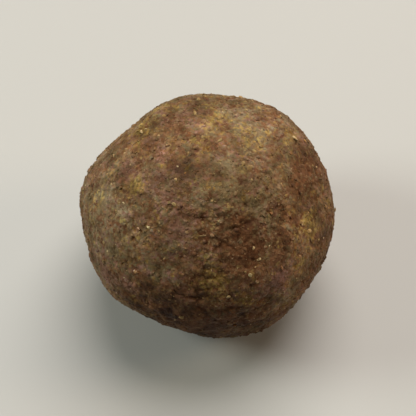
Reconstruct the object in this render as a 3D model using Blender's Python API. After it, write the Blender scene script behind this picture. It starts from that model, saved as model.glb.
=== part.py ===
"""Ragi laddu: one hand-rolled ball of roasted finger-millet flour, jaggery, ghee and chopped nuts.

The ball is a single solid in metres, +Z up, with its origin at the middle of the small flat that it
rests on. +X is to the right of somebody who looks down on it from the front, and -Y is the front.
"""

import itertools
import math

import bmesh
import bpy
import numpy as np
from mathutils import Euler, Vector

MM = 0.001

# The ball as it is rolled, before it is pressed: half its width, half its depth and half its height.
HALF_WIDTH = 20.3 * MM
HALF_DEPTH = 20.1 * MM
HALF_HEIGHT = 19.8 * MM
# The flat that it rests on lies this far below the middle of the ball.
BASE_DROP = 16.9 * MM
# Ways that point down by less than this never meet the flat.
LEVEL = 1e-9

# Each press of a palm or finger leaves a nearly flat face. A face is given by the direction in which
# it looks, as degrees round from +X and degrees above the horizon, and by how far it lies from the
# middle of the ball.
PRESSED_FACES = (
    ("left palm, high at the back", 134, 26, 17.9 * MM),
    ("left fingers, low at the front", 242, -31, 19.0 * MM),
    ("thumb, high at the back", 92, 34, 18.8 * MM),
    ("right fingers, low at the front", 329, -19, 21.2 * MM),
    ("left side", 194, -9, 20.5 * MM),
    ("palm over the front", 262, 43, 20.0 * MM),
    ("crown", 30, 78, 19.3 * MM),
    ("right palm, at the back", 38, 4, 19.4 * MM),
    ("heel of the hand, low at the back", 112, -24, 20.2 * MM),
    ("right fingers, high at the front", 338, 38, 19.4 * MM),
    ("bottom, round the flat", 200, -86, 17.7 * MM),
)
# A higher number gives the pressed faces a crisper edge.
FACE_EDGE = 15.8
# Between two presses the flour bulged a little. Each low swell is given by its direction, its reach
# along the surface and its height.
SWELLS = (
    ("low at the front, to the right", 298, -30, 5.0 * MM, 0.55 * MM),
    ("right side, below the middle", 337, -15, 4.5 * MM, 0.25 * MM),
)

# Unevenness of the packed flour, coarse to fine: the size of its lumps and their height.
LUMPS = (
    (13.0 * MM, 0.36 * MM),
    (5.5 * MM, 0.20 * MM),
    (2.7 * MM, 0.15 * MM),
    (1.5 * MM, 0.13 * MM),
)
LUMP_SEED = 11
# Whole numbers that stir the corner of a lattice and a seed into one even draw.
STIR_CORNER = (374761393, 668265263, 1440662683)
STIR_SEED = 974634777
STIR_AGAIN = 1274126177
STIR_LAST = 2246822519
LOW_BITS = 0xFFFFFFFF
# It carries the noise to about -1 to 1.
NOISE_REACH = 1.5
# Squares along each edge of the cube that is blown up into the ball.
GRID = 28

# The largest bits of nut and jaggery that stand out of the flour: the direction of each from the
# middle of the ball, in degrees as above, and its length.
LARGE_CRUMBS = (
    (139, 66, 1.1 * MM),
    (163, 60, 1.1 * MM),
    (210, 56, 1.3 * MM),
    (67, 74, 1.6 * MM),
    (106, 73, 1.2 * MM),
    (17, 45, 1.4 * MM),
    (355, 84, 1.4 * MM),
    (245, 57, 1.1 * MM),
    (296, 37, 1.2 * MM),
    (297, 31, 1.2 * MM),
    (291, 26, 1.2 * MM),
    (332, 23, 1.6 * MM),
    (280, 17, 1.1 * MM),
    (307, 22, 1.1 * MM),
)
# The smaller ones are spread over the ball: how many, how far each strays from an even place as a share
# of the radius, how long they are, how much the short ones prevail, and how far from a large one they keep.
SMALL_CRUMB_COUNT = 66
SMALL_CRUMB_STRAY = 0.11
SMALL_CRUMB_LENGTH = (0.9 * MM, 1.5 * MM)
SMALL_CRUMB_SKEW = 2
CRUMB_SPACING = 2.6 * MM
# Width to length, thickness to width, and the share of the thickness that stands out.
CRUMB_FLATNESS = (0.6, 0.85)
CRUMB_PROUD = (0.22, 0.42)
CRUMB_RAGGED = 0.16
# No crumb lies lower than this, so that the ball stands on its flat.
CRUMB_FLOOR = 2.2 * MM
CRUMB_SEED = 5

FLOUR_COLOUR = (0.126, 0.068, 0.033, 1.0)
FLOUR_ROUGHNESS = 0.78


def direction(round_deg, above_deg):
    """The unit vector that looks round_deg from +X and above_deg over the horizon."""
    turn, rise = math.radians(round_deg), math.radians(above_deg)
    level = math.cos(rise)
    return np.array((math.cos(turn) * level, math.sin(turn) * level, math.sin(rise)))


def lattice_noise(points, seed):
    """Smooth noise of about -1 to 1: a slope at each whole-number corner, faded into the next."""
    cell = np.floor(points).astype(np.int64)
    local = points - cell
    fade = local**3 * (local * (local * 6 - 15) + 10)
    total = np.zeros(len(points))
    for corner in itertools.product((0, 1), repeat=3):
        key = ((cell + corner) @ np.array(STIR_CORNER) + seed * STIR_SEED) & LOW_BITS
        key = ((key ^ (key >> 13)) * STIR_AGAIN) & LOW_BITS
        key = ((key ^ (key >> 16)) * STIR_LAST) & LOW_BITS
        turn = (key & 0xFFFF) * (2 * math.pi / 0x10000)
        height = ((key >> 16) & 0xFFFF) / 0x8000 - 1
        across = np.sqrt(np.clip(1 - height**2, 0, 1))
        slope = np.stack((across * np.cos(turn), across * np.sin(turn), height), axis=1)
        rise = ((local - corner) * slope).sum(axis=1)
        total += rise * np.prod(np.where(corner, fade, 1 - fade), axis=1)
    return total * NOISE_REACH


def pressed_radius(ways):
    """How far the surface is from the ball's middle, along each unit vector in ways.

    It is the soft minimum of the ball's own radius and of the distance to each pressed face, so that
    every face runs into the next over a rounded edge.
    """
    half = np.array((HALF_WIDTH, HALF_DEPTH, HALF_HEIGHT))
    near = np.linalg.norm(ways / half, axis=1) ** FACE_EDGE
    for _, round_deg, above_deg, distance in PRESSED_FACES:
        facing = np.clip(ways @ direction(round_deg, above_deg), 0, None)
        near += (facing / distance) ** FACE_EDGE
    return near ** (-1 / FACE_EDGE)


def swell_height(ways):
    """How far the swells lift the surface, along each unit vector in ways."""
    total = np.zeros(len(ways))
    for _, round_deg, above_deg, reach, height in SWELLS:
        away = HALF_WIDTH * np.arccos(np.clip(ways @ direction(round_deg, above_deg), -1, 1))
        total += height * np.exp(-((away / reach) ** 2))
    return total


def surface_points(ways):
    """Points of the ball about its own middle: the pressed form, its lumps, and the flat below."""
    radius = pressed_radius(ways) + swell_height(ways)
    form = ways * radius[:, None]
    for number, (size, height) in enumerate(LUMPS):
        radius = radius + height * lattice_noise(form / size, LUMP_SEED + number)
    down = np.clip(-ways[:, 2], LEVEL, None)
    radius = np.minimum(radius, BASE_DROP / down)
    return ways * radius[:, None]


def make_ball():
    """The pressed ball: a cube of even squares, blown up until it meets the surface.

    Returns it with the place of its middle, which is over the middle of its outline.
    """
    shape = bmesh.new()
    bmesh.ops.create_cube(shape, size=2.0)
    bmesh.ops.subdivide_edges(shape, edges=shape.edges[:], cuts=GRID - 1, use_grid_fill=True)
    flat = np.array([vertex.co for vertex in shape.verts])
    ways = np.tan(flat * (math.pi / 4))
    ways /= np.linalg.norm(ways, axis=1)[:, None]
    points = surface_points(ways)
    outline_middle = (points.min(axis=0) + points.max(axis=0)) / 2
    middle = np.array((-outline_middle[0], -outline_middle[1], BASE_DROP))
    for vertex, place in zip(shape.verts, points + middle):
        vertex.co = place
    bmesh.ops.recalc_face_normals(shape, faces=shape.faces[:])
    mesh = bpy.data.meshes.new("laddu")
    shape.to_mesh(mesh)
    shape.free()
    ball = bpy.data.objects.new("laddu", mesh)
    bpy.context.scene.collection.objects.link(ball)
    return ball, middle


def even_ways(count):
    """Unit vectors spread evenly over a ball, along a spiral that turns by the golden angle."""
    step = np.arange(count) + 0.5
    height = 1 - 2 * step / count
    turn = step * (math.pi * (3 - math.sqrt(5)))
    across = np.sqrt(1 - height**2)
    return np.stack((across * np.cos(turn), across * np.sin(turn), height), axis=1)


def crumb_layout(middle, draw):
    """Each crumb's place, the way it looks, its half sizes and its turn: large ones, then small."""
    large = np.array([direction(turn, rise) for turn, rise, _ in LARGE_CRUMBS])
    small = even_ways(SMALL_CRUMB_COUNT) + draw.normal(0, SMALL_CRUMB_STRAY, (SMALL_CRUMB_COUNT, 3))
    small /= np.linalg.norm(small, axis=1)[:, None]
    apart = HALF_WIDTH * np.arccos(np.clip(small @ large.T, -1, 1)).min(axis=1)
    small = small[apart > CRUMB_SPACING]
    ways = np.concatenate((large, small))
    count = len(ways)

    share = draw.random(len(small)) ** SMALL_CRUMB_SKEW
    shortest, longest = SMALL_CRUMB_LENGTH
    length = np.concatenate(([size for _, _, size in LARGE_CRUMBS], shortest + (longest - shortest) * share))
    width = length * draw.uniform(*CRUMB_FLATNESS, count)
    thickness = width * draw.uniform(*CRUMB_FLATNESS, count)
    half = np.stack((length, width, thickness), axis=1) / 2
    raised = thickness * (draw.uniform(*CRUMB_PROUD, count) - 0.5)
    turns = draw.uniform(0, 2 * math.pi, count)

    places = surface_points(ways) + middle + ways * raised[:, None]
    high_enough = places[:, 2] > CRUMB_FLOOR
    return list(zip(places[high_enough], ways[high_enough], half[high_enough], turns[high_enough]))


def make_crumb(name, place, way, half, turn, draw):
    """One crumb: a faceted chip with uneven corners, its thin side along the ball's radius."""
    shape = bmesh.new()
    bmesh.ops.create_icosphere(shape, subdivisions=1, radius=1.0)
    for vertex in shape.verts:
        uneven = 1 + draw.uniform(-CRUMB_RAGGED, CRUMB_RAGGED)
        vertex.co = Vector(half) * vertex.co * uneven
    mesh = bpy.data.meshes.new(name)
    shape.to_mesh(mesh)
    shape.free()
    crumb = bpy.data.objects.new(name, mesh)
    crumb.location = place
    crumb.rotation_mode = "QUATERNION"
    upright = Vector(way).to_track_quat("Z", "Y")
    crumb.rotation_quaternion = upright @ Euler((0, 0, turn)).to_quaternion()
    return crumb


def fuse(ball, crumbs):
    """Joins a collection of crumbs to the ball as one solid, then removes the loose crumbs."""
    union = ball.modifiers.new("crumbs", "BOOLEAN")
    union.operation = "UNION"
    union.operand_type = "COLLECTION"
    union.collection = crumbs
    union.solver = "EXACT"
    bpy.context.view_layer.update()
    graph = bpy.context.evaluated_depsgraph_get()
    fused = bpy.data.meshes.new_from_object(ball.evaluated_get(graph))
    ball.modifiers.clear()
    ball.data = fused
    for crumb in list(crumbs.objects):
        bpy.data.objects.remove(crumb)
    bpy.data.collections.remove(crumbs)


def flour_material():
    """The roasted flour: a dry dark brown with hardly any shine."""
    material = bpy.data.materials.new("ragi_flour")
    material.use_nodes = True
    shader = material.node_tree.nodes["Principled BSDF"]
    shader.inputs["Base Color"].default_value = FLOUR_COLOUR
    shader.inputs["Roughness"].default_value = FLOUR_ROUGHNESS
    shader.inputs["Metallic"].default_value = 0.0
    return material


def main():
    for obj in list(bpy.data.objects):
        bpy.data.objects.remove(obj)
    ball, middle = make_ball()
    crumbs = bpy.data.collections.new("crumbs")
    bpy.context.scene.collection.children.link(crumbs)
    draw = np.random.default_rng(CRUMB_SEED)
    for number, (place, way, half, turn) in enumerate(crumb_layout(middle, draw)):
        crumbs.objects.link(make_crumb(f"crumb_{number}", place, way, half, turn, draw))
    fuse(ball, crumbs)
    ball.data.materials.clear()
    ball.data.materials.append(flour_material())
    ball.data.shade_smooth()


main()
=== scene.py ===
# Ragi laddu: the finish of one hand-rolled ball of roasted finger-millet flour.
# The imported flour, its grits, bran, nut and jaggery are modelled round the ball that the frame gives.
import itertools
import math

import bpy
import numpy as np
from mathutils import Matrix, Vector


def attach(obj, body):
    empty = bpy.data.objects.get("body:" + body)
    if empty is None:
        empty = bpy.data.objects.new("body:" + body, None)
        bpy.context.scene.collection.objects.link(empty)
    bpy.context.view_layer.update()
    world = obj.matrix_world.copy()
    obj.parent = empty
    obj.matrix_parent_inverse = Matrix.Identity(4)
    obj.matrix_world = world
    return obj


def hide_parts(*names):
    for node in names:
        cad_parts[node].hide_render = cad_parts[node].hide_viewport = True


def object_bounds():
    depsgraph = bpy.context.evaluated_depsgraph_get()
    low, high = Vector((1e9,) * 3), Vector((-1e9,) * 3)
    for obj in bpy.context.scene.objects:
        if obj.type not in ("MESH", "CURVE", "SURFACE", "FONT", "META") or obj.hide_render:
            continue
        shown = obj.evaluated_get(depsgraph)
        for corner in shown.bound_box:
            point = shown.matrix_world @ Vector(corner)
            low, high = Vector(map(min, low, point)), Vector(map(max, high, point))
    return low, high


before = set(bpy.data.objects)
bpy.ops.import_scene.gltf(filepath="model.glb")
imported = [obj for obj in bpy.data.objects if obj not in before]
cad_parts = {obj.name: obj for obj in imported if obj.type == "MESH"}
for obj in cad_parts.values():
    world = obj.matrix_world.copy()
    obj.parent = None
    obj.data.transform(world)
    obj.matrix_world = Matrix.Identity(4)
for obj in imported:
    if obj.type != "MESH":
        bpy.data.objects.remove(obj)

cadBox = [list(corner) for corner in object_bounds()]
mm = 0.001
bakeMapName = "OFBake"          # the name of the flat sheet that every piece carries, through which its finish can be baked

print("ragi laddu: frame loaded")

# The form of the ball, with the same sizes as its solid.
ballForm = {
    "halfWidth": 20.3 * mm,
    "halfDepth": 20.1 * mm,
    "halfHeight": 19.8 * mm,
    "baseDrop": 16.9 * mm,      # the flat lies this far below the middle
    "faceEdge": 15.8,           # higher is a crisper edge between pressed faces
    "outlineSquares": 28,       # the solid's own squares, which set where its middle lies
    # each pressed face: degrees round from +X, degrees above the horizon, distance from the middle
    "pressedFaces": (
        (134, 26, 17.9 * mm),   # left palm, high at the back
        (242, -31, 19.0 * mm),  # left fingers, low at the front
        (92, 34, 18.8 * mm),    # thumb, high at the back
        (329, -19, 21.2 * mm),  # right fingers, low at the front
        (194, -9, 20.5 * mm),   # left side
        (262, 43, 20.0 * mm),   # palm over the front
        (30, 78, 19.3 * mm),    # crown
        (38, 4, 19.4 * mm),     # right palm, at the back
        (112, -24, 20.2 * mm),  # heel of the hand, low at the back
        (338, 38, 19.4 * mm),   # right fingers, high at the front
        (200, -86, 17.7 * mm),  # bottom, round the flat
    ),
    # low swells between two presses: degrees round and above, reach in mm, height
    "swells": ((298, -30, 5.0, 0.55 * mm), (337, -15, 4.5, 0.25 * mm)),
    # size and height of the flour's lumps, coarse to fine
    "lumps": ((13.0 * mm, 0.36 * mm), (5.5 * mm, 0.20 * mm), (2.7 * mm, 0.15 * mm), (1.5 * mm, 0.13 * mm)),
    "lumpSeed": 11,
}


def facing(roundDeg, aboveDeg):  # unit vector: cos and sin of the turn, levelled by the rise
    turn, rise = math.radians(roundDeg), math.radians(aboveDeg)
    return np.array((math.cos(turn) * math.cos(rise), math.sin(turn) * math.cos(rise), math.sin(rise)))


def unit(vectors):  # each vector over its own length
    return vectors / np.maximum(np.linalg.norm(vectors, axis=-1, keepdims=True), 1e-12)


def smoothStep(low, high, values):  # 0 below low, 1 above high, an S between
    t = np.clip((values - low) / (high - low), 0, 1)
    return t * t * (3 - 2 * t)


def cornerKey(cell, seed):  # one well-mixed whole number for each lattice corner, from large odd factors
    x, y, z = cell.T
    key = (x * 374761393 + y * 668265263 + z * 1440662683 + seed * 974634777) & 0xFFFFFFFF
    key = ((key ^ (key >> 13)) * 1274126177) & 0xFFFFFFFF
    return ((key ^ (key >> 16)) * 2246822519) & 0xFFFFFFFF


def lumpNoise(points, seed):  # a random slope at each lattice corner, faded into the next: about -1 to 1
    cell = np.floor(points).astype(np.int64)
    local = points - cell
    fade = local**3 * (local * (local * 6 - 15) + 10)
    total = np.zeros(len(points))
    for corner in itertools.product((0, 1), repeat=3):
        key = cornerKey(cell + corner, seed)
        turn = (key & 0xFFFF) * (2 * math.pi / 0x10000)
        height = ((key >> 16) & 0xFFFF) / 0x8000 - 1
        across = np.sqrt(np.clip(1 - height**2, 0, 1))
        slope = np.stack((across * np.cos(turn), across * np.sin(turn), height), axis=1)
        total += ((local - corner) * slope).sum(axis=1) * np.prod(np.where(corner, fade, 1 - fade), axis=1)
    return total * 1.5          # the slopes by themselves reach about two thirds


def nearestSeed(points, seed):
    # one seed at a random place in each lattice cell: distance to the nearest and the next, and its number
    cell = np.floor(points).astype(np.int64)
    near = np.full(len(points), 9.0)        # farther than any seed can be
    after = near.copy()
    owner = np.zeros(len(points), np.int64)
    for step in itertools.product((-1, 0, 1), repeat=3):
        key = cornerKey(cell + step, seed)
        place = np.stack((key & 0x3FF, (key >> 10) & 0x3FF, (key >> 20) & 0x3FF), axis=1) / 0x400
        gap = np.linalg.norm(points - (cell + step + place), axis=1)
        closer = gap < near
        after = np.where(closer, near, np.minimum(after, gap))
        owner = np.where(closer, key, owner)
        near = np.where(closer, gap, near)
    return near, after, owner


def cellDraw(owner, shift):  # each cell's own draw from 0 to 1; shift picks one of several
    return (owner >> shift & 0xFF) / 255


def nearSpots(ways, spots):
    # bell-shaped hills about named directions, each with its own reach and height, added up
    total = np.zeros(len(ways))
    for roundDeg, aboveDeg, reach, height in spots:
        away = ballForm["halfWidth"] * np.arccos(np.clip(ways @ facing(roundDeg, aboveDeg), -1, 1))
        total += height * np.exp(-((away / (reach * mm)) ** 2))
    return total


def pressedRadius(ways):
    # soft minimum of the ball's own radius and the distance to each pressed face
    half = np.array((ballForm["halfWidth"], ballForm["halfDepth"], ballForm["halfHeight"]))
    edge = ballForm["faceEdge"]
    near = np.linalg.norm(ways / half, axis=1) ** edge
    for roundDeg, aboveDeg, distance in ballForm["pressedFaces"]:
        near += (np.clip(ways @ facing(roundDeg, aboveDeg), 0, None) / distance) ** edge
    return near ** (-1 / edge)


def packedRadius(ways):  # the pressed radius plus the swells and each size of lump
    radius = pressedRadius(ways) + nearSpots(ways, ballForm["swells"])
    form = ways * radius[:, None]
    for number, (size, height) in enumerate(ballForm["lumps"]):
        radius = radius + height * lumpNoise(form / size, ballForm["lumpSeed"] + number)
    return radius


def cutAtBase(radius, ways):  # nothing reaches below the flat
    toFlat = ballForm["baseDrop"] / np.clip(-ways[:, 2], 1e-9, None)
    return np.minimum(radius, toFlat)


def cubeBall(squares):
    # whole-number points on a cube's skin, each kept once, then blown up to even steps round a ball;
    # also its quads, and each quad corner's place on a flat sheet of three by two squares
    margin = 0.02               # of each square on the sheet, left bare round it
    line = np.arange(squares + 1)
    across, along = np.meshgrid(line, line, indexing="ij")
    step = np.arange(squares)
    over, up = (grid.ravel() for grid in np.meshgrid(step, step, indexing="ij"))
    ringAcross = np.stack((over, over + 1, over + 1, over), axis=1)
    ringAlong = np.stack((up, up, up + 1, up + 1), axis=1)
    ring = ringAcross * (squares + 1) + ringAlong
    ringPlace = np.stack((ringAcross, ringAlong), axis=2)
    corners, quads, sheet = [], [], []
    for number, (axis, side) in enumerate(itertools.product(range(3), (0, squares))):
        point = np.empty((squares + 1, squares + 1, 3), np.int64)
        point[..., axis] = side
        point[..., (axis + 1) % 3] = across
        point[..., (axis + 2) % 3] = along
        corners.append(point.reshape(-1, 3))
        turned = ring if side else ring[:, ::-1]
        place = ringPlace if side else ringPlace[:, ::-1]
        quads.append(turned + number * (squares + 1) ** 2)
        inCell = margin + (1 - 2 * margin) * place / squares
        sheet.append((inCell + (number % 3, number // 3)) / (3, 2))
    corners = np.concatenate(corners)
    code = (corners[:, 0] * (squares + 1) + corners[:, 1]) * (squares + 1) + corners[:, 2]
    _, kept, index = np.unique(code, return_index=True, return_inverse=True)
    ways = unit(np.tan((2 * corners[kept] / squares - 1) * math.pi / 4))
    return ways, index[np.concatenate(quads)], np.concatenate(sheet).reshape(-1, 2)


outlineWays = cubeBall(ballForm["outlineSquares"])[0]
outlinePoints = outlineWays * cutAtBase(packedRadius(outlineWays), outlineWays)[:, None]
outlineMiddle = (outlinePoints.min(axis=0) + outlinePoints.max(axis=0)) / 2
ballMiddle = np.array((-outlineMiddle[0], -outlineMiddle[1], ballForm["baseDrop"]))

# The fine relief of the pressed flour, which the solid is too coarse to hold.
flourRelief = {
    "squares": 128,             # along each edge of the cube that becomes the ball
    "inset": 0.11 * mm,         # keeps the grains on top within the solid's own box
    # packed cells: width of the joints, in cells, then in heights: how low the joints lie, how tops differ
    "grains": {
        "size": 0.95 * mm, "height": 0.13 * mm, "joint": 0.45, "sunk": 0.55, "uneven": 0.7, "seed": 31,
    },
    "clods": {
        "size": 1.9 * mm, "height": 0.16 * mm, "joint": 0.35, "sunk": 0.60, "uneven": 0.8, "seed": 29,
    },
    # patches that the palm smoothed: how much relief is left, and from which noise to which it comes back
    "calm": {"size": 7.0 * mm, "left": 0.35, "smooth": -0.35, "rough": 0.45, "seed": 43},
    # pits: one chance in each cube of this size; hollow is the power that shapes the bowl, and left the
    # share of its depth that stays where the palm smoothed
    "pits": {
        "size": 1.9 * mm, "share": 0.55, "radius": (0.28 * mm, 0.75 * mm), "depth": 0.32 * mm,
        "hollow": 1.5, "left": 0.4, "seed": 37,
    },
    # hairline cracks along the zero line of a noise, bent by a finer one, where a third noise is high
    "cracks": {
        "size": 7.5 * mm, "bendSize": 1.3 * mm, "bend": 0.05, "width": 0.022, "depth": 0.20 * mm,
        "low": 0.1, "high": 0.4, "seed": 53,
    },
    # crumbly places that the photo shows: degrees round and above, reach in mm, how much rougher
    "crumbly": ((290, 38, 3.4, 0.20), (300, 52, 1.8, 0.30), (320, 8, 4.0, 0.3), (205, 20, 3.4, 0.25)),
}


def packedCells(form, lot):  # flat tops with low joints between them, each top at its own height
    near, after, owner = nearestSeed(form / lot["size"], lot["seed"])
    top = smoothStep(0.0, lot["joint"], after - near) - lot["sunk"]
    return lot["height"] * (top + (cellDraw(owner, 5) - 0.5) * lot["uneven"])


def pitDepths(form, rough):  # round some seeds: 1 less the squared distance in radii, to a power
    pits = flourRelief["pits"]
    near, _, owner = nearestSeed(form / pits["size"], pits["seed"])
    chosen = cellDraw(owner, 3) < pits["share"]
    small, large = pits["radius"]
    reach = small + (large - small) * cellDraw(owner, 11) ** 2
    bowl = np.clip(1 - (near * pits["size"] / reach) ** 2, 0, 1) ** pits["hollow"] * chosen
    return pits["depth"] * bowl * (pits["left"] + (1 - pits["left"]) * rough)


def crackDepths(form):  # a narrow bell about the line where the bent noise is zero
    cracks = flourRelief["cracks"]
    line = lumpNoise(form / cracks["size"], cracks["seed"])
    line = line + cracks["bend"] * lumpNoise(form / cracks["bendSize"], cracks["seed"] + 1)
    here = smoothStep(cracks["low"], cracks["high"], lumpNoise(form / cracks["size"], cracks["seed"] + 2))
    return cracks["depth"] * np.exp(-((line / cracks["width"]) ** 2)) * here


def fineRelief(ways, form):
    # packed grains and clods, lower where the palm smoothed them, less the pits and the cracks
    calm = flourRelief["calm"]
    worked = smoothStep(calm["smooth"], calm["rough"], lumpNoise(form / calm["size"], calm["seed"]))
    rough = calm["left"] + (1 - calm["left"]) * worked
    rough = rough + nearSpots(ways, flourRelief["crumbly"])
    packed = packedCells(form, flourRelief["grains"]) + packedCells(form, flourRelief["clods"])
    return packed * rough - pitDepths(form, rough) - crackDepths(form)


def flourSurface(ways):  # places on the finished flour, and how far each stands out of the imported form
    radius = packedRadius(ways)
    height = fineRelief(ways, ways * radius[:, None])
    radius = cutAtBase(radius + height - flourRelief["inset"], ways)
    return ballMiddle + ways * radius[:, None], height


# Patches of other tones that the photo shows: degrees round and above, reach in mm, strength.
tonePatches = {
    "golden": (
        (72, 75, 2.5, 0.8), (160, 60, 2.2, 0.8), (210, 54, 1.8, 1.0), (332, 25, 2.3, 1.2),
        (274, 25, 2.2, 0.8), (288, 14, 1.5, 0.7), (15, 69, 2.9, 0.6), (19, 46, 1.5, 0.7),
        (130, 57, 1.8, 0.9), (318, 15, 1.6, 0.5), (240, 86, 1.6, 0.7),
    ),
    "olive": (
        (201, 42, 2.9, 0.8), (215, 28, 4.0, 1.0), (296, 66, 3.0, 0.9), (307, 51, 4.0, 0.9),
        (14, 54, 2.4, 0.7), (201, 22, 2.2, 0.8), (275, 60, 2.8, 0.7), (45, 66, 4.5, 0.5),
        # (188, 24) on the left rim is a painted reflection and (95, 50) on the back-top rim a painted sheen,
        # both greyer
        (188, 25, 2.4, 0.7), (95, 50, 6.0, 0.7), (248, 32, 3.0, 0.6),
    ),
    "burntAndShade": (
        (286, 41, 2.9, 0.8), (272, 44, 2.2, 0.7), (7, 22, 2.2, 1.0), (9, 34, 1.5, 1.0),
        # (265, -5), low at the front, is painted shade: darker and redder where the ground shades the ball
        (311, 64, 1.3, 0.8), (265, -5, 7.0, 1.0), (342, 40, 2.9, 0.5), (294, 33, 2.2, 0.8),
        (312, 31, 2.2, 0.7), (292, 49, 2.2, 0.6), (358, 40, 2.2, 0.9),
    ),
    "rosy": (
        (304, 16, 2.6, 1.0), (221, 8, 2.5, 1.0), (197, 52, 1.8, 0.7), (120, 74, 2.6, 0.7),
        (219, 65, 3.3, 0.6), (255, 47, 2.6, 1.0), (246, 61, 2.2, 0.6), (257, 18, 2.6, 0.8),
        (234, 13, 2.0, 0.8),
    ),
}
# Lighter places, and darker ones with a strength below 0; a few of them are painted shade and sheen, as
# marked below.
lightPatches = (
    (224, 37, 3.5, 0.7), (215, 71, 3.6, -0.4), (255, 57, 2.0, 0.4), (32, 58, 5.0, 0.6),
    (300, 56, 3.0, -0.4), (314, 17, 3.5, 0.5), (2, 38, 4.0, -0.6), (266, 48, 2.0, 0.3),
    (287, 38, 2.8, 1.0), (203, 27, 4.0, 1.0), (121, 66, 4.5, -0.8), (220, 52, 2.6, -0.5),
    # (34, 47) is a painted sheen, lighter on the rim at the back and top
    (329, 22, 2.8, 0.7), (66, 76, 2.4, 0.5), (14, 54, 2.8, 1.2), (34, 47, 2.8, 0.6),
    (344, 62, 2.4, 0.5), (300, 20, 2.8, 0.7), (274, 20, 2.8, 0.6), (171, 53, 2.2, -0.6),
    # (262, 7), (236, 12), (242, -3) and (270, -15) are painted shade, low at the front where the ground
    # shades the ball
    (259, 69, 2.8, -0.6), (254, 45, 2.4, -0.4), (288, 61, 2.2, -0.3), (262, 7, 4.5, -1.0),
    (236, 12, 3.0, -0.8), (242, -3, 6.0, -0.9), (270, -15, 9.0, -0.9),
)


def toneMasks(ways):  # the side that the photo hides has the same tones, straight through the middle
    masks = {tone: np.clip(nearSpots(ways, spots) + nearSpots(-ways, spots), 0, 1)
             for tone, spots in tonePatches.items()}
    return masks | {"light": np.clip(nearSpots(ways, lightPatches), -1, 1)}


def keepInBox(points):  # nothing leaves the solid's own box
    return np.clip(points, cadBox[0], cadBox[1])


def newPiece(name, points, faces, sheet, values, sharpDeg=None):
    # a mesh with its flat sheet, its values and the tone masks at each point, in place of the solid
    mesh = bpy.data.meshes.new(name)
    mesh.from_pydata(keepInBox(points), [], faces)
    layer = mesh.uv_layers.new(name=bakeMapName)
    layer.uv.foreach_set("vector", sheet.astype(np.float32).ravel())
    values = values | toneMasks(unit(points - ballMiddle))
    for label, numbers in values.items():
        mesh.attributes.new(label, "FLOAT", "POINT").data.foreach_set("value", numbers.astype(np.float32))
    mesh.shade_smooth()
    if sharpDeg:
        mesh.set_sharp_from_angle(angle=math.radians(sharpDeg))
    piece = bpy.data.objects.new(name, mesh)
    bpy.context.scene.collection.objects.link(piece)
    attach(piece, "root")
    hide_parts("laddu")
    print(f"ragi laddu: {name}, {len(faces)} faces")
    return piece


def rollDough():  # the ball itself: a cube's even squares blown up to the flour's surface
    ways, quads, sheet = cubeBall(flourRelief["squares"])
    points, height = flourSurface(ways)
    relief = height / flourRelief["grains"]["height"]
    return newPiece("ragiDough", points, quads, sheet, {"relief": relief})


def grainGrid(rings, sides):
    # a ball of rings and sides, each ring turned half a side: points, triangles, and corners on a flat disc
    discRadius, rimRadius = 0.46, 0.5       # the lower pole's corners lie on the rim
    lean = math.pi * np.arange(1, rings + 1) / (rings + 1)
    turn = 2 * math.pi * (np.arange(sides)[None] + 0.5 * np.arange(rings)[:, None]) / sides
    sin, cos = np.sin(lean)[:, None], np.cos(lean)[:, None] + 0 * turn
    body = np.stack((sin * np.cos(turn), sin * np.sin(turn), cos), axis=2).reshape(-1, 3)
    points = np.concatenate((body, ((0, 0, 1), (0, 0, -1))))
    disc = discRadius * (lean / math.pi)[:, None, None] * np.stack((np.cos(turn), np.sin(turn)), axis=2)
    disc = disc.reshape(-1, 2)
    here = np.arange(sides)
    after = (here + 1) % sides
    top, bottom = len(body), len(body) + 1
    faces = [np.stack((np.full(sides, top), here, after), axis=1)]
    flat = [np.stack((np.zeros((sides, 2)), disc[here], disc[after]), axis=1)]
    for ring in range(rings - 1):
        upper, lower = ring * sides, (ring + 1) * sides
        faces += [np.stack((upper + here, lower + here, upper + after), axis=1),
                  np.stack((upper + after, lower + here, lower + after), axis=1)]
    for band in faces[1:]:
        flat.append(disc[band])
    last = (rings - 1) * sides
    faces.append(np.stack((last + here, np.full(sides, bottom), last + after), axis=1))
    outer = rimRadius * unit(disc[last + here] + disc[last + after])
    flat.append(np.stack((disc[last + here], outer, disc[last + after]), axis=1))
    return points, np.concatenate(faces), 0.5 + np.concatenate(flat)


def grainAxes(ways, turns):  # thin side along the ball's radius, long side turned about it
    up = unit(np.array((0.0, 0.0, 1.0)) - ways[:, 2:3] * ways)
    side = np.cross(up, ways)
    cos, sin = np.cos(turns)[:, None], np.sin(turns)[:, None]
    return np.stack((cos * side + sin * up, cos * up - sin * side, ways), axis=1)


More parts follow.
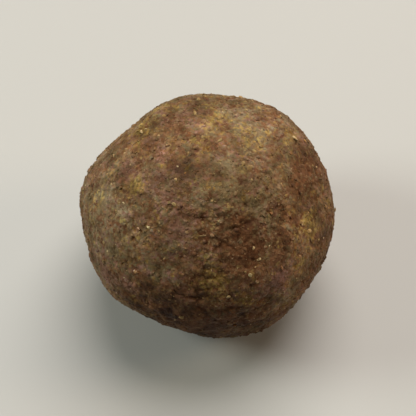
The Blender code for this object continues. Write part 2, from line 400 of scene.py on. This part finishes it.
def joinGrains(name, look, places, ways, half, turns, tones, draw):
    # each grain is a ragged ball with flat cuts, stretched to its half sizes, leant and set in its place
    margin = 0.05               # of each grain's square on the sheet, left bare round it
    high = places[:, 2] > look["floor"]
    places, ways, half, turns, tones = places[high], ways[high], half[high], turns[high], tones[high]
    count = len(places)
    points, faces, flat = grainGrid(*look["grid"])
    shape = points[None] * (1 + draw.uniform(-look["ragged"], look["ragged"], (count, len(points), 1)))
    for _ in range(look["cuts"]):
        # points past a plane are drawn straight back to it, towards the middle
        normal = unit(draw.normal(0, 1, (count, 1, 3)))
        depth = draw.uniform(*look["cutDepth"], (count, 1))
        reach = (shape * normal).sum(axis=2)
        shape = shape * (depth / np.maximum(reach, depth))[..., None]
    leaning = unit(ways + draw.normal(0, look["lean"], ways.shape))
    axes = grainAxes(leaning, turns)
    world = places[:, None] + np.einsum("gvi,gij->gvj", shape * half[:, None], axes)
    joined = (faces[None] + len(points) * np.arange(count)[:, None, None]).reshape(-1, 3)
    cells = math.ceil(math.sqrt(count))
    cell = np.stack((np.arange(count) % cells, np.arange(count) // cells), axis=1)
    sheet = ((flat[None] * (1 - 2 * margin) + margin + cell[:, None, None]) / cells).reshape(-1, 2)
    values = {"tone": np.repeat(tones, len(points)), "hue": np.repeat(draw.random(count), len(points))}
    return newPiece(name, world.reshape(-1, 3), joined, sheet, values, look.get("sharpDeg"))


def evenWays(count):  # a spiral that turns by the golden angle, evenly spaced in height
    step = np.arange(count) + 0.5
    height = 1 - 2 * step / count
    turn = step * (math.pi * (3 - math.sqrt(5)))
    across = np.sqrt(1 - height**2)
    return np.stack((across * np.cos(turn), across * np.sin(turn), height), axis=1)


def strewnWays(count, draw, jitter):  # even spacing, each moved by a share of the spacing
    spacing = math.sqrt(4 * math.pi / count)
    return unit(evenWays(count) + draw.normal(0, jitter * spacing, (count, 3)))


# The bits of nut and jaggery that the solid holds too, with the same draws in the same order.
crumbRule = {
    # the largest: degrees round and above, length in mm, tone from golden 0 to cream 1; amber is jaggery
    "large": (
        (139, 66, 1.1, 0.30), (163, 60, 1.1, 0.90), (210, 56, 1.3, 0.25), (67, 74, 1.6, 0.30),
        (106, 73, 1.2, 0.45), (17, 45, 1.4, 0.95), (355, 84, 1.4, 0.40), (245, 57, 1.1, 0.50),
        (296, 37, 1.2, 0.75), (297, 31, 1.2, 0.85), (291, 26, 1.2, 0.90), (332, 23, 1.6, 0.55),
        (280, 17, 1.1, 0.60), (307, 22, 1.1, "amber"),
    ),
    "smallCount": 66,
    "smallScatter": 0.11,       # how far each strays from its even place, in radii of the ball
    "smallLength": (0.9 * mm, 1.5 * mm),
    "shortness": 2,             # above 1, most are short
    "smallPalest": 0.8,         # the palest tone of a small one
    "spacing": 2.6 * mm,        # none lies nearer to a large one
    "flatness": (0.6, 0.85),    # width to length, and thickness to width
    "proud": (0.22, 0.42),      # how much of the thickness stands out
    "seed": 5,
    "jaggeryShare": 0.35,       # of the small ones
    "amberTone": 0.5,
}
# Every kind of grain has: rings and sides of its mesh, how many flat cuts and how far from the middle, in
# half sizes, how ragged it is, how far it leans, the lowest place that one may have, the angle from which
# an edge is sharp, then flatness and proud as above.
nutLook = {
    "grid": (4, 7), "cuts": 9, "cutDepth": (0.30, 0.70), "ragged": 0.10, "lean": 0.0, "floor": 2.2 * mm,
    "sharpDeg": 24, "flatness": (0.45, 0.9), "proud": (0.10, 0.36),
}
jaggeryLook = dict(nutLook, cuts=10, ragged=0.06)
# Finer bits of the same two kinds, which only the looks hold; jitter is in spacings.
fineNut = {"count": 900, "length": (0.34 * mm, 0.95 * mm), "seed": 61, "jitter": 0.45}
fineJaggery = {"count": 420, "length": (0.30 * mm, 0.80 * mm), "seed": 67, "jitter": 0.45}
# Smaller pale bits that the photo shows: degrees round and above, length in mm, tone.
seenSpecks = (
    (139, 60, 0.9, 0.3), (185, 59, 0.8, 0.4), (179, 44, 0.9, 0.6), (190, 43, 0.9, 0.4), (50, 59, 0.8, 0.3),
    (349, 72, 0.8, 0.4), (3, 69, 0.9, 0.3), (275, 61, 0.8, 0.6), (276, 57, 0.8, 0.5), (332, 18, 0.9, 0.4),
    (288, 16, 0.8, 0.3), (229, 44, 0.8, 0.5), (272, 43, 0.9, 0.2),
)
# A thin sliver of husk that lies nearly level across the front; its size is length, width and thickness.
sliver = {
    "at": (269, 46), "size": (3.2 * mm, 0.42 * mm, 0.36 * mm), "turn": 0.12,
    "proud": 0.10 * mm, "tone": 0.35,
}
gritLook = {
    "count": 7600, "length": (0.34 * mm, 0.80 * mm), "seed": 71, "jitter": 0.42,
    "grid": (2, 5), "cuts": 2, "cutDepth": (0.45, 0.85), "ragged": 0.18, "lean": 0.22, "floor": 0.35 * mm,
    "sharpDeg": 40, "flatness": (0.48, 0.90), "proud": (0.12, 0.46),
}
fineGritLook = {
    "count": 16000, "length": (0.20 * mm, 0.44 * mm), "seed": 83, "jitter": 0.45,
    "grid": (1, 6), "cuts": 1, "cutDepth": (0.45, 0.85), "ragged": 0.22, "lean": 0.25, "floor": 0.25 * mm,
    "sharpDeg": 40, "flatness": (0.55, 0.95), "proud": (0.18, 0.55),
}
branLook = {
    "count": 1100, "length": (0.45 * mm, 1.05 * mm), "seed": 79, "jitter": 0.45,
    "grid": (2, 6), "cuts": 1, "cutDepth": (0.5, 0.85), "ragged": 0.20, "lean": 0.22, "floor": 0.35 * mm,
    "flatness": (0.35, 0.75), "proud": (0.15, 0.42),
}
fineShortness = 1.6             # of all these finer ones: above 1, most are short


def solidCrumbs():  # the solid's own layout: places, ways, half sizes, turns, tones, and which are jaggery
    rule = crumbRule
    draw = np.random.default_rng(rule["seed"])
    large = np.array([facing(roundDeg, aboveDeg) for roundDeg, aboveDeg, _, _ in rule["large"]])
    scatter = draw.normal(0, rule["smallScatter"], (rule["smallCount"], 3))
    small = unit(evenWays(rule["smallCount"]) + scatter)
    apart = ballForm["halfWidth"] * np.arccos(np.clip(small @ large.T, -1, 1)).min(axis=1)
    small = small[apart > rule["spacing"]]
    ways = np.concatenate((large, small))
    share = draw.random(len(small)) ** rule["shortness"]
    shortest, longest = rule["smallLength"]
    smallLength = shortest + (longest - shortest) * share
    length = np.concatenate(([size * mm for _, _, size, _ in rule["large"]], smallLength))
    width = length * draw.uniform(*rule["flatness"], len(ways))
    thickness = width * draw.uniform(*rule["flatness"], len(ways))
    half = np.stack((length, width, thickness), axis=1) / 2
    raised = thickness * (draw.uniform(*rule["proud"], len(ways)) - 0.5)
    turns = draw.uniform(0, 2 * math.pi, len(ways))
    radius = cutAtBase(packedRadius(ways), ways)
    places = ballMiddle + ways * (radius + raised)[:, None]
    kinds = np.random.default_rng(rule["seed"] + 1)
    largeAmber = [tone == "amber" for _, _, _, tone in rule["large"]]
    amber = np.concatenate((largeAmber, kinds.random(len(small)) < rule["jaggeryShare"]))
    largeTones = [rule["amberTone"] if tone == "amber" else tone for _, _, _, tone in rule["large"]]
    tones = np.concatenate((largeTones, kinds.random(len(small)) * rule["smallPalest"]))
    return (places, ways, half, turns, tones), amber


def fineBits(rule, look, draw, named=()):  # smaller bits: even places, most of them short
    ways = strewnWays(rule["count"], draw, rule["jitter"])
    shortest, longest = rule["length"]
    length = shortest + (longest - shortest) * draw.random(len(ways)) ** fineShortness
    tones = draw.random(len(ways))
    if named:
        ways = np.concatenate(([facing(roundDeg, aboveDeg) for roundDeg, aboveDeg, _, _ in named], ways))
        length = np.concatenate(([size * mm for _, _, size, _ in named], length))
        tones = np.concatenate(([tone for _, _, _, tone in named], tones))
    width = length * draw.uniform(*look["flatness"], len(ways))
    thickness = width * draw.uniform(*look["flatness"], len(ways))
    raised = thickness * (draw.uniform(*look["proud"], len(ways)) - 0.5)
    turns = draw.uniform(0, 2 * math.pi, len(ways))
    places = flourSurface(ways)[0] + ways * raised[:, None]
    return places, ways, np.stack((length, width, thickness), axis=1) / 2, turns, tones


def layPiece(rule):  # one bit with its own sizes, in the same form as many
    way = facing(*rule["at"])[None]
    place = flourSurface(way)[0] + way * (rule["proud"] - rule["size"][2] / 2)
    return place, way, np.array([rule["size"]]) / 2, np.array([rule["turn"]]), np.array([rule["tone"]])


def setBits(name, look, draw, *lots):  # several lots of bits as one piece
    return joinGrains(name, look, *(np.concatenate(parts) for parts in zip(*lots)), draw)


def strewGrains(name, look):  # one kind of grain all over the ball
    draw = np.random.default_rng(look["seed"])
    return setBits(name, look, draw, fineBits(look, look, draw))


dough = rollDough()
crumbs, isAmber = solidCrumbs()
nutDraw = np.random.default_rng(fineNut["seed"])
nutBits = setBits("nutBits", nutLook, nutDraw, [part[~isAmber] for part in crumbs],
                  fineBits(fineNut, nutLook, nutDraw, seenSpecks), layPiece(sliver))
jaggeryDraw = np.random.default_rng(fineJaggery["seed"])
jaggeryBits = setBits("jaggeryBits", jaggeryLook, jaggeryDraw, [part[isAmber] for part in crumbs],
                      fineBits(fineJaggery, jaggeryLook, jaggeryDraw))
grits = strewGrains("ragiGrits", gritLook)
fineGrits = strewGrains("fineGrits", fineGritLook)
bran = strewGrains("branFlakes", branLook)


# Finishes. Small helpers place a node with its values and join sockets.
def addNode(tree, kind, inputs=None, **settings):  # an input is a value, or a socket to join
    node = tree.nodes.new(kind)
    for label, value in settings.items():
        setattr(node, label, value)
    for label, value in (inputs or {}).items():
        if isinstance(value, bpy.types.NodeSocket):
            tree.links.new(value, node.inputs[label])
        else:
            node.inputs[label].default_value = value
    return node


def addRamp(tree, value, stops):  # a colour for each value, from the stops' places and colours
    node = addNode(tree, "ShaderNodeValToRGB", {"Fac": value})
    ramp = node.color_ramp
    while len(ramp.elements) < len(stops):
        ramp.elements.new(0.5)
    for element, (at, colour) in zip(ramp.elements, stops):
        element.position = at
        element.color = (*colour, 1)
    return node.outputs["Color"]


def newGroup(name, inputs, outputs):  # inputs have a name, kind and value, and outputs a name and kind
    group = bpy.data.node_groups.new(name, "ShaderNodeTree")
    for label, kind, value in inputs:
        group.interface.new_socket(label, in_out="INPUT", socket_type=kind).default_value = value
    for label, kind in outputs:
        group.interface.new_socket(label, in_out="OUTPUT", socket_type=kind)
    return group, group.nodes.new("NodeGroupInput"), group.nodes.new("NodeGroupOutput")


def objectPlace(tree):  # where a point lies in its piece
    return addNode(tree, "ShaderNodeTexCoord").outputs["Object"]


def cloud(tree, size, w, detail, roughness):  # noise of one size; w picks one of many
    noise = addNode(tree, "ShaderNodeTexNoise", {"Vector": objectPlace(tree), "W": w, "Scale": 1 / size,
                                                 "Detail": detail, "Roughness": roughness},
                    noise_dimensions="4D")
    return noise.outputs["Fac"]


def between(tree, value, low, high, toLow=0.0, toHigh=1.0):  # a value from low to high carried to new ends
    node = addNode(tree, "ShaderNodeMapRange", {"Value": value, "From Min": low, "From Max": high,
                                                "To Min": toLow, "To Max": toHigh})
    return node.outputs["Result"]


def centred(tree, value, low=0.0, high=1.0):  # a value from low to high carried to -0.5 to 0.5
    return between(tree, value, low, high, -0.5, 0.5)


def plusTimes(tree, base, value, times):  # base + value x times
    node = addNode(tree, "ShaderNodeMath", operation="MULTIPLY_ADD")
    tree.links.new(value, node.inputs[0])
    node.inputs[1].default_value = times
    tree.links.new(base, node.inputs[2])
    return node.outputs[0]


def attribute(tree, name):  # a value that the piece's points carry
    return addNode(tree, "ShaderNodeAttribute", attribute_name=name).outputs["Fac"]


def mixed(tree, share, first, second):  # two colours, by share of the second
    node = addNode(tree, "ShaderNodeMix", data_type="RGBA")
    for socket, value in zip((node.inputs[0], node.inputs[6], node.inputs[7]), (share, first, second)):
        if isinstance(value, bpy.types.NodeSocket):
            tree.links.new(value, socket)
        else:
            socket.default_value = (*value, 1) if isinstance(value, tuple) else value
    return node.outputs[2]


def tinted(tree, first, second):  # two colours multiplied
    node = addNode(tree, "ShaderNodeVectorMath", operation="MULTIPLY")
    tree.links.new(first, node.inputs[0])
    tree.links.new(second, node.inputs[1])
    return node.outputs["Vector"]


# grains that are drawn rather than modelled: how far their edges wander, and the size of the wandering
grainWander = {"reach": 0.40 * mm, "size": 0.30 * mm, "detail": 2.0}


def drawnGrains(tree, size):
    # cells round random seeds, at a place that a noise pushes about, and each cell's own draws
    where = objectPlace(tree)
    push = addNode(tree, "ShaderNodeTexNoise", {"Vector": where, "Scale": 1 / grainWander["size"],
                                                "Detail": grainWander["detail"]})
    moved = addNode(tree, "ShaderNodeVectorMath", operation="MULTIPLY_ADD")
    tree.links.new(push.outputs["Color"], moved.inputs[0])
    moved.inputs[1].default_value = (grainWander["reach"],) * 3
    tree.links.new(where, moved.inputs[2])
    cells = addNode(tree, "ShaderNodeTexVoronoi", {"Vector": moved.outputs["Vector"], "Scale": 1 / size})
    draws = addNode(tree, "ShaderNodeSeparateColor", {"Color": cells.outputs["Color"]})
    return cells, draws.outputs


colourSocket, numberSocket = "NodeSocketColor", "NodeSocketFloat"

flourTones = {
    "olive": (0.140, 0.097, 0.0445),
    "warm": (0.157, 0.070, 0.0275),
    "golden": (0.244, 0.158, 0.042),
    "rosy": (0.176, 0.085, 0.058),
    # the burnt tone, also used for painted shade low at the front
    "burntAndShade": (0.109, 0.0437, 0.0154),
    # slow drift of the flour: its noise as size, which of many, detail and roughness, then where it is
    # olive and where warm, and how far a named olive patch pushes it
    "driftNoise": (3.6 * mm, 0.0, 3.0, 0.55),
    "drift": (0.38, 0.60),
    "olivePush": -0.248,
    # streaks over the drift: tone, size of noise, which noise, from where to where it comes in, its most
    "streaks": (
        ("golden", 1.5 * mm, 3.1, 0.56, 0.74, 0.95),
        ("rosy", 2.0 * mm, 5.7, 0.54, 0.72, 0.85),
        ("burntAndShade", 2.4 * mm, 8.3, 0.54, 0.70, 0.95),
    ),
    "streakNoise": (4.0, 0.6),  # their detail and roughness
    "streakPush": 0.31,         # how far a named patch pushes them
    "crumbSize": 0.42 * mm,     # all of these end along crumbs of this size
    "crumbEdge": 0.25,          # how far each crumb's own draw moves the end
    # light and dark: blotches, flecks and the named places
    "blotchNoise": (3.2 * mm, 11.9, 3.0, 0.55),
    "fleckNoise": (1.3 * mm, 21.3, 2.0, 0.55),
    "noiseSpan": (0.30, 0.70),  # nearly all of a noise lies between these
    "blotchLight": (0.50, 1.53),
    "fleckLight": 0.44,
    "placedLight": 0.42,
}
# from a dark place to a light one, which is paler: the multiplier at each lightness
shadeStops = ((0.2, (0.250, 0.200, 0.105)), (0.6, (0.645, 0.600, 0.489)), (1.0, (1.0, 1.0, 1.0)),
              (1.8, (1.658, 1.800, 2.277)))


def buildPatches():
    # Color: the drift with its streaks, each noise plus its named patches plus each crumb's own draw, past
    # a threshold, over Own by Cover. Shade: blotches plus flecks plus named places, as a multiplier
    tones = flourTones
    inputs = [("Own", colourSocket, (1.0, 1.0, 1.0, 1.0)), ("Cover", numberSocket, 1.0)]
    outputs = [("Color", colourSocket), ("Shade", colourSocket)]
    group, given, made = newGroup("flourPatches", inputs, outputs)
    draws = drawnGrains(group, tones["crumbSize"])[1]
    drift = cloud(group, *tones["driftNoise"])
    drift = plusTimes(group, drift, attribute(group, "olive"), tones["olivePush"])
    drift = plusTimes(group, drift, centred(group, draws["Red"]), tones["crumbEdge"])
    oliveAt, warmAt = tones["drift"]
    hue = addRamp(group, drift, ((oliveAt, tones["olive"]), (warmAt, tones["warm"])))
    for (name, size, w, low, high, most), drawn in zip(tones["streaks"], ("Red", "Green", "Blue")):
        streak = cloud(group, size, w, *tones["streakNoise"])
        streak = plusTimes(group, streak, attribute(group, name), tones["streakPush"])
        streak = plusTimes(group, streak, centred(group, draws[drawn]), tones["crumbEdge"])
        hue = mixed(group, between(group, streak, low, high, 0.0, most), hue, tones[name])
    group.links.new(mixed(group, given.outputs["Cover"], given.outputs["Own"], hue), made.inputs["Color"])
    light = between(group, cloud(group, *tones["blotchNoise"]), *tones["noiseSpan"], *tones["blotchLight"])
    flecks = centred(group, cloud(group, *tones["fleckNoise"]), *tones["noiseSpan"])
    light = plusTimes(group, light, flecks, tones["fleckLight"])
    light = plusTimes(group, light, attribute(group, "light"), tones["placedLight"])
    darkest, lightest = shadeStops[0][0], shadeStops[-1][0]
    stops = [((at - darkest) / (lightest - darkest), shade) for at, shade in shadeStops]
    group.links.new(addRamp(group, between(group, light, darkest, lightest), stops), made.inputs["Shade"])
    return group


speckleLook = {
    "grainSize": 0.46 * mm,
    "dustNoise": (0.15 * mm, 0.0, 2.0, 0.55),   # size, which of many, detail, roughness
    "dustShare": 0.5,
    "span": (0.15, 1.35),       # grain and dust together, from the darkest to the palest
    "stops": ((0.0, (0.74, 0.67, 0.58)), (0.5, (1.0, 1.0, 1.0)), (1.0, (1.26, 1.33, 1.42))),
    "slope": -0.8,              # how fast a grain falls away from its middle
}
# one grain beside the next: redder, as it is, or more olive
hueStops = ((0.0, (1.08, 0.97, 0.88)), (0.5, (1.0, 1.0, 1.0)), (1.0, (0.95, 1.02, 1.0)))


def buildSpeckle():
    # grains too fine for the mesh, with dust over them: dark ones are redder and pale ones greyer
    look = speckleLook
    group, given, made = newGroup("flourSpeckle", [("Strength", numberSocket, 1.0)],
                                  [("Tint", colourSocket), ("Height", numberSocket)])
    cells, draws = drawnGrains(group, look["grainSize"])
    dust = cloud(group, *look["dustNoise"])
    both = between(group, plusTimes(group, draws["Red"], dust, look["dustShare"]), *look["span"])
    tint = tinted(group, addRamp(group, both, look["stops"]), addRamp(group, draws["Green"], hueStops))
    group.links.new(mixed(group, given.outputs["Strength"], (1.0, 1.0, 1.0), tint), made.inputs["Tint"])
    group.links.new(plusTimes(group, dust, cells.outputs["Distance"], look["slope"]), made.inputs["Height"])
    return group


gheeLook = {
    "noise": (3.0 * mm, 2.0, 5.0, 0.65),        # size, which of many, detail, roughness
    "span": (0.42, 0.68),       # dry below, greasy above
}


def buildGhee():
    # where the fat has come to the surface: a mask that is 1 there, and the roughness from dry to greasy
    group, given, made = newGroup("gheeSheen", [("Dry", numberSocket, 1.0), ("Greasy", numberSocket, 0.0)],
                                  [("Roughness", numberSocket), ("Mask", numberSocket)])
    mask = between(group, cloud(group, *gheeLook["noise"]), *gheeLook["span"])
    rough = between(group, mask, 0.0, 1.0, given.outputs["Dry"], given.outputs["Greasy"])
    group.links.new(rough, made.inputs["Roughness"])
    group.links.new(mask, made.inputs["Mask"])
    return group


patchesGroup, speckleGroup, gheeGroup = buildPatches(), buildSpeckle(), buildGhee()


def newFinish(name):  # a material, its tree and its shader
    material = bpy.data.materials.new(name)
    material.use_nodes = True
    return material, material.node_tree, material.node_tree.nodes["Principled BSDF"]


def useGroup(tree, group, **inputs):  # a group placed with its own values
    return addNode(tree, "ShaderNodeGroup", inputs, node_tree=group)


def addBump(tree, shader, height, distance, strength):  # height times distance, as dents in the shading
    bump = addNode(tree, "ShaderNodeBump", {"Height": height, "Distance": distance, "Strength": strength})
    tree.links.new(bump.outputs["Normal"], shader.inputs["Normal"])


flourLook = {
    "hollowShadeSpan": (-1.8, 1.0),    # from the lowest joint to the highest top, in heights of a grain
    # painted shade: the joints and pits darker and redder, the tops paler as dust
    "hollowShadeStops": ((0.0, (0.72, 0.56, 0.42)), (0.6, (1.0, 1.0, 1.0)), (1.0, (1.12, 1.14, 1.18))),
    "dry": 0.78,
    "greasy": 0.55,
    "greasyCoat": 0.07,
    "coatRoughness": 0.38,
    "specular": 0.18,
    "bumpDepth": 0.10 * mm,
    "bumpStrength": 0.8,
}


def flourFinish():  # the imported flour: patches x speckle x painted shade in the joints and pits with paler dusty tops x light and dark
    look = flourLook
    material, tree, shader = newFinish("roastedFlour")
    patches = useGroup(tree, patchesGroup, Cover=1.0)
    speckle = useGroup(tree, speckleGroup, Strength=1.0)
    # painted shade in the joints and pits, and paler dusty tops, from the relief
    hollowShadeAndDust = addRamp(tree, between(tree, attribute(tree, "relief"), *look["hollowShadeSpan"]), look["hollowShadeStops"])
    own = tinted(tree, tinted(tree, patches.outputs["Color"], speckle.outputs["Tint"]), hollowShadeAndDust)
    tree.links.new(tinted(tree, own, patches.outputs["Shade"]), shader.inputs["Base Color"])
    ghee = useGroup(tree, gheeGroup, Dry=look["dry"], Greasy=look["greasy"])
    tree.links.new(ghee.outputs["Roughness"], shader.inputs["Roughness"])
    coat = between(tree, ghee.outputs["Mask"], 0.0, 1.0, 0.0, look["greasyCoat"])
    tree.links.new(coat, shader.inputs["Coat Weight"])
    shader.inputs["Coat Roughness"].default_value = look["coatRoughness"]
    shader.inputs["Specular IOR Level"].default_value = look["specular"]
    addBump(tree, shader, speckle.outputs["Height"], look["bumpDepth"], look["bumpStrength"])
    return material


# Each kind of grain: tones from dark to light, roughness where dry, depth of the bump, how shiny, and how
# much of the flour's patches covers it; without a cover it also keeps its own light and dark.
grainLooks = {
    "ragiGrit": {
        "stops": ((0.0, (0.085, 0.039, 0.015)), (0.25, (0.119, 0.061, 0.025)),
                  (0.62, (0.168, 0.094, 0.039)), (0.86, (0.230, 0.146, 0.065)),
                  (1.0, (0.336, 0.236, 0.118))),
        "dry": 0.72, "bumpDepth": 0.05 * mm, "specular": 0.2, "cover": 0.6,
    },
    "branHusk": {
        "stops": ((0.0, (0.034, 0.014, 0.008)), (0.6, (0.064, 0.028, 0.013)), (1.0, (0.110, 0.045, 0.018))),
        "dry": 0.62, "bumpDepth": 0.04 * mm, "specular": 0.2, "cover": 0.6,
    },
    "roastedNut": {
        "stops": ((0.0, (0.200, 0.118, 0.040)), (0.5, (0.290, 0.185, 0.076)), (0.8, (0.400, 0.275, 0.130)),
                  (1.0, (0.540, 0.410, 0.220))),
        "dry": 0.55, "bumpDepth": 0.05 * mm, "specular": 0.2, "cover": 0.0,
    },
    "jaggeryAmber": {
        "stops": ((0.0, (0.130, 0.050, 0.016)), (0.5, (0.220, 0.100, 0.028)), (1.0, (0.320, 0.180, 0.052))),
        "dry": 0.42, "bumpDepth": 0.03 * mm, "specular": 0.45, "cover": 0.0,
    },
}
# what all kinds share: how strong the speckle is, how much less rough ghee leaves them, and the bump
grainShared = {"speckle": 0.5, "greaseSmooths": 0.2, "bumpStrength": 0.6}


def grainFinish(name):  # own tone x hue x speckle, drifting with the flour round it where that covers it
    look = grainLooks[name]
    material, tree, shader = newFinish(name)
    speckle = useGroup(tree, speckleGroup, Strength=grainShared["speckle"])
    own = addRamp(tree, attribute(tree, "tone"), look["stops"])
    own = tinted(tree, own, addRamp(tree, attribute(tree, "hue"), hueStops))
    own = tinted(tree, own, speckle.outputs["Tint"])
    if look["cover"]:
        patches = useGroup(tree, patchesGroup, Own=own, Cover=look["cover"])
        own = tinted(tree, patches.outputs["Color"], patches.outputs["Shade"])
    tree.links.new(own, shader.inputs["Base Color"])
    ghee = useGroup(tree, gheeGroup, Dry=look["dry"], Greasy=look["dry"] - grainShared["greaseSmooths"])
    tree.links.new(ghee.outputs["Roughness"], shader.inputs["Roughness"])
    shader.inputs["Specular IOR Level"].default_value = look["specular"]
    addBump(tree, shader, speckle.outputs["Height"], look["bumpDepth"], grainShared["bumpStrength"])
    return material


dough.data.materials.append(flourFinish())
wornBy = {
    "ragiGrit": (grits, fineGrits),
    "branHusk": (bran,),
    "roastedNut": (nutBits,),
    "jaggeryAmber": (jaggeryBits,),
}
for name, pieces in wornBy.items():
    finish = grainFinish(name)
    for piece in pieces:
        piece.data.materials.append(finish)
print("ragi laddu: finishes on")

# The stage: a plain pale floor and soft studio light.
stageLook = {
    "floorRadius": 3.0,         # metres
    "floorSides": 96,
    "floorDrop": 0.02 * mm,     # a hair below the ball's flat
    "floorTone": (0.43, 0.423, 0.412),
    "floorRoughness": 0.7,
    # faint clouds in the floor's tone: how many to a metre, their detail, the darkest, and the noise's span
    "mottleScale": 9.0,
    "mottleDetail": 3.0,
    "mottleDark": 0.985,
    "mottleSpan": (0.3, 0.7),
    "skyTone": (1.0, 0.97, 0.92),
    "skyStrength": 0.03,
    "backdropTone": (0.70, 0.69, 0.67),
    "glowFrom": 0.10,           # metres from the ball where the floor starts to turn into the backdrop
    "glowTo": 1.1,
}


def layFloor():  # a flat disc that turns into the backdrop far away
    stage = stageLook
    turn = 2 * math.pi * np.arange(stage["floorSides"]) / stage["floorSides"]
    rim = np.stack((np.cos(turn), np.sin(turn), 0 * turn), axis=1) * stage["floorRadius"]
    mesh = bpy.data.meshes.new("paleFloor")
    mesh.from_pydata(rim - (0, 0, stage["floorDrop"]), [], [list(range(stage["floorSides"]))])
    floor = bpy.data.objects.new("paleFloor", mesh)
    bpy.context.scene.collection.objects.link(floor)
    material, tree, shader = newFinish("paleFloorFinish")
    where = objectPlace(tree)
    mottle = addNode(tree, "ShaderNodeTexNoise", {"Vector": where, "Scale": stage["mottleScale"],
                                                  "Detail": stage["mottleDetail"]})
    darkAt, paleAt = stage["mottleSpan"]
    darkTone = tuple(stage["mottleDark"] * part for part in stage["floorTone"])
    tone = addRamp(tree, mottle.outputs["Fac"], ((darkAt, darkTone), (paleAt, stage["floorTone"])))
    tree.links.new(tone, shader.inputs["Base Color"])
    shader.inputs["Roughness"].default_value = stage["floorRoughness"]
    away = addNode(tree, "ShaderNodeVectorMath", operation="LENGTH")
    tree.links.new(where, away.inputs[0])
    glow = {"Value": away.outputs["Value"], "From Min": stage["glowFrom"], "From Max": stage["glowTo"]}
    far = addNode(tree, "ShaderNodeMapRange", glow, interpolation_type="SMOOTHSTEP")
    tree.links.new(far.outputs["Result"], shader.inputs["Emission Strength"])
    shader.inputs["Emission Color"].default_value = (*stage["backdropTone"], 1)
    mesh.materials.append(material)


def lightSky():  # weak as a light, pale where the camera sees it
    world = bpy.data.worlds.new("softSky")
    world.use_nodes = True
    tree = world.node_tree
    glow = tree.nodes["Background"]
    glow.inputs["Color"].default_value = (*stageLook["skyTone"], 1)
    glow.inputs["Strength"].default_value = stageLook["skyStrength"]
    backdrop = addNode(tree, "ShaderNodeBackground")
    backdrop.inputs["Color"].default_value = (*stageLook["backdropTone"], 1)
    seen = addNode(tree, "ShaderNodeLightPath").outputs["Is Camera Ray"]
    both = addNode(tree, "ShaderNodeMixShader", {"Fac": seen})
    tree.links.new(glow.outputs[0], both.inputs[1])
    tree.links.new(backdrop.outputs[0], both.inputs[2])
    tree.links.new(both.outputs[0], tree.nodes["World Output"].inputs["Surface"])
    bpy.context.scene.world = world


# each light: direction it comes from (round, above), distance, width, power, spread in degrees, colour
softLights = {
    "keyWindow": (70, 64, 0.55, 0.50, 4.1, 180, (1.0, 0.955, 0.89)),
    "leftGlow": (178, 32, 0.50, 0.20, 0.60, 110, (0.94, 1.0, 0.90)),
    "rightWarmth": (5, 28, 0.50, 0.20, 0.26, 110, (1.0, 0.80, 0.56)),
}


def hangLights():  # discs that face the middle of the ball
    aim = Vector(ballMiddle)
    for name, (roundDeg, aboveDeg, distance, width, power, spreadDeg, tint) in softLights.items():
        lamp = bpy.data.lights.new(name, "AREA")
        lamp.shape = "DISK"
        lamp.size = width
        lamp.energy = power
        lamp.spread = math.radians(spreadDeg)
        lamp.color = tint
        holder = bpy.data.objects.new(name, lamp)
        holder.location = aim + Vector(facing(roundDeg, aboveDeg)) * distance
        holder.rotation_euler = (aim - holder.location).to_track_quat("-Z", "Y").to_euler()
        bpy.context.scene.collection.objects.link(holder)


# the photo's viewing direction and distance, framed closer round the ball
cameraLook = {
    "roundDeg": -90,
    "aboveDeg": 56,
    "distance": 185 * mm,
    "ballShare": 0.62,          # of the picture's width
    "sensor": 36.0,
    "clip": (0.01, 20.0),
}


def placeCamera():  # looks at the middle of the box, through a lens that gives the ball its share
    view = cameraLook
    low, high = (Vector(corner) for corner in cadBox)
    aim = (low + high) / 2
    camera = bpy.data.cameras.new("camera")
    camera.sensor_width = view["sensor"]
    frameWidth = (high.x - low.x) / view["ballShare"]
    camera.lens = view["sensor"] * view["distance"] / frameWidth
    camera.clip_start, camera.clip_end = view["clip"]
    holder = bpy.data.objects.new("camera", camera)
    holder.location = aim + Vector(facing(view["roundDeg"], view["aboveDeg"])) * view["distance"]
    holder.rotation_euler = (aim - holder.location).to_track_quat("-Z", "Y").to_euler()
    bpy.context.scene.collection.objects.link(holder)
    bpy.context.scene.camera = holder


layFloor()
lightSky()
hangLights()
placeCamera()
bpy.context.scene.view_settings.view_transform = "Standard"
bpy.context.scene.view_settings.look = "None"
print("ragi laddu: stage set")
